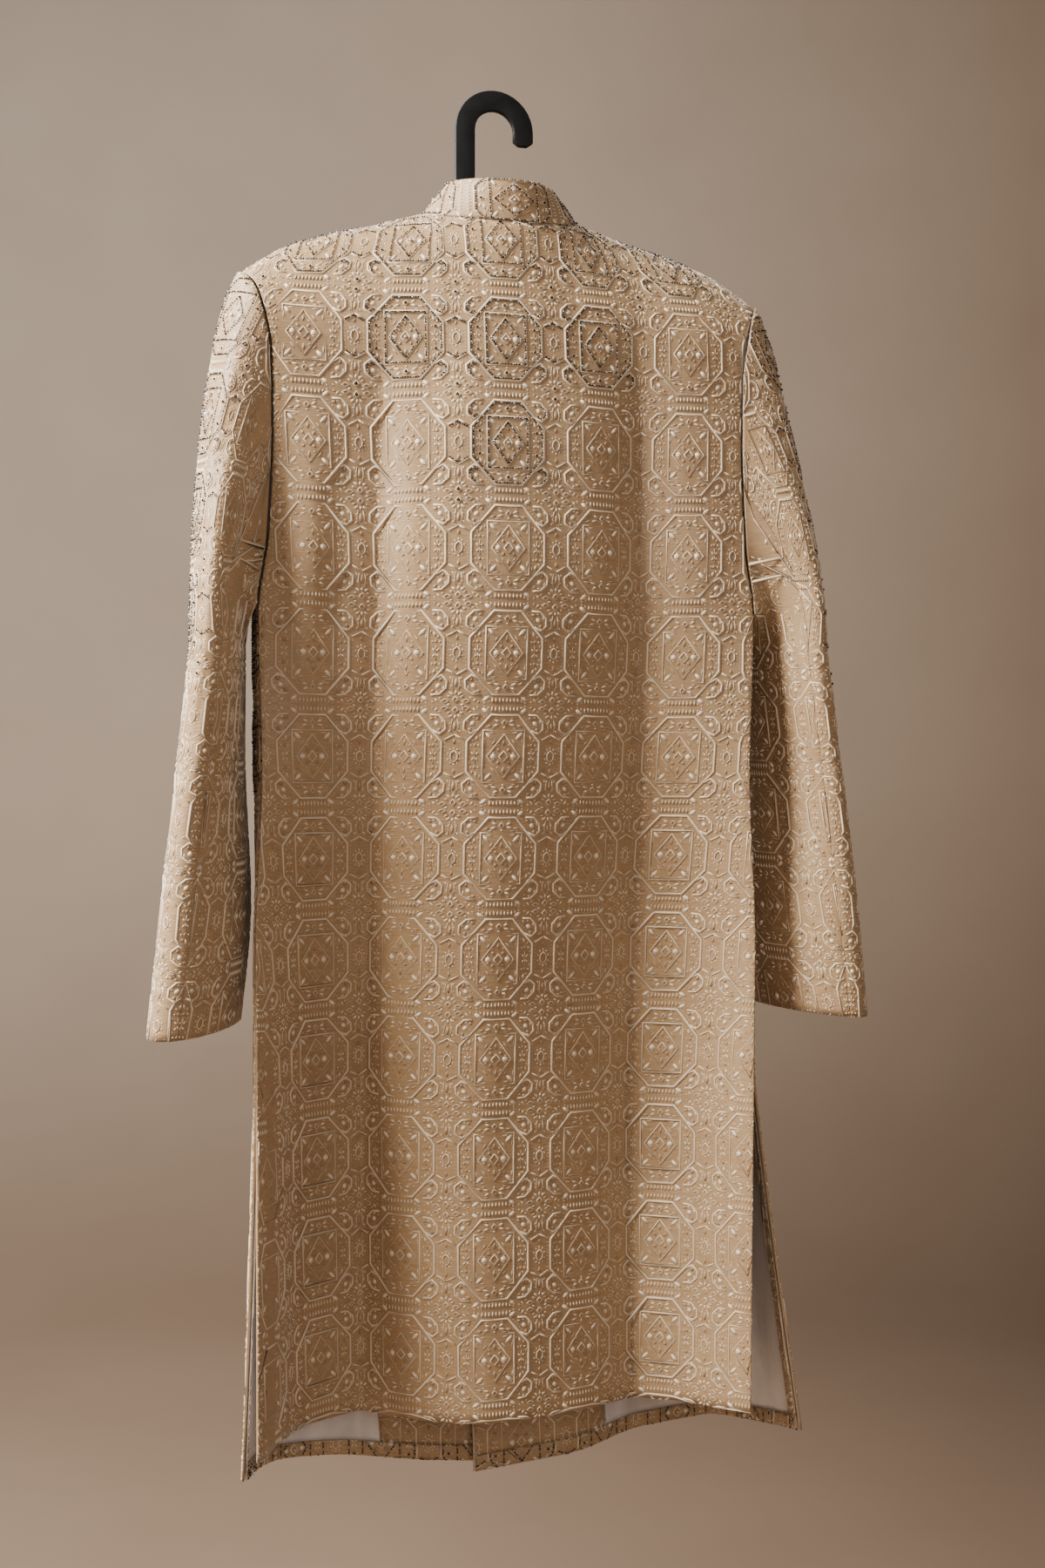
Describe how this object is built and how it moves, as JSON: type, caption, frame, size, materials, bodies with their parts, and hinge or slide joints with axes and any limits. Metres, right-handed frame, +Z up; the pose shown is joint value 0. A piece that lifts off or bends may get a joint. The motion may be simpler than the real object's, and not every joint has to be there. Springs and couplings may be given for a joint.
{
  "type": "sherwani coat on a hanger",
  "caption": "Knee-length sherwani coat of embroidered silk with a stand collar, two-piece sleeves and side slits, hanging on a flat plastic hanger.",
  "frame": {"origin": "where the hook bears on what holds it, at the middle of the strap inside the top of its arch", "axes": "+Z up along the coat, +X to the wearer's left, -Y out of the coat's front"},
  "size_m": [0.6399, 0.2, 1.2296],
  "materials": {
    "embroidered_silk": "champagne silk, machine embroidered all over in its own colour, soft sheen",
    "satin_lining": "pale grey satin",
    "button": "glossy, in the cloth's colour",
    "hanger_plastic": "moulded black"
  },
  "bodies": {
    "root": {"back": "embroidered_silk", "collar": "embroidered_silk", "facing_left": "embroidered_silk", "facing_right": "embroidered_silk", "front_left": "embroidered_silk", "front_right": "embroidered_silk", "sleeve_left_top": "embroidered_silk", "sleeve_left_under": "embroidered_silk", "sleeve_right_top": "embroidered_silk", "sleeve_right_under": "embroidered_silk", "lining_left": "satin_lining", "lining_right": "satin_lining", "button_1": "button", "button_2": "button", "button_3": "button", "button_4": "button", "button_5": "button", "button_6": "button", "button_7": "button", "button_8": "button", "hanger": "hanger_plastic"}
  },
  "joints": []
}
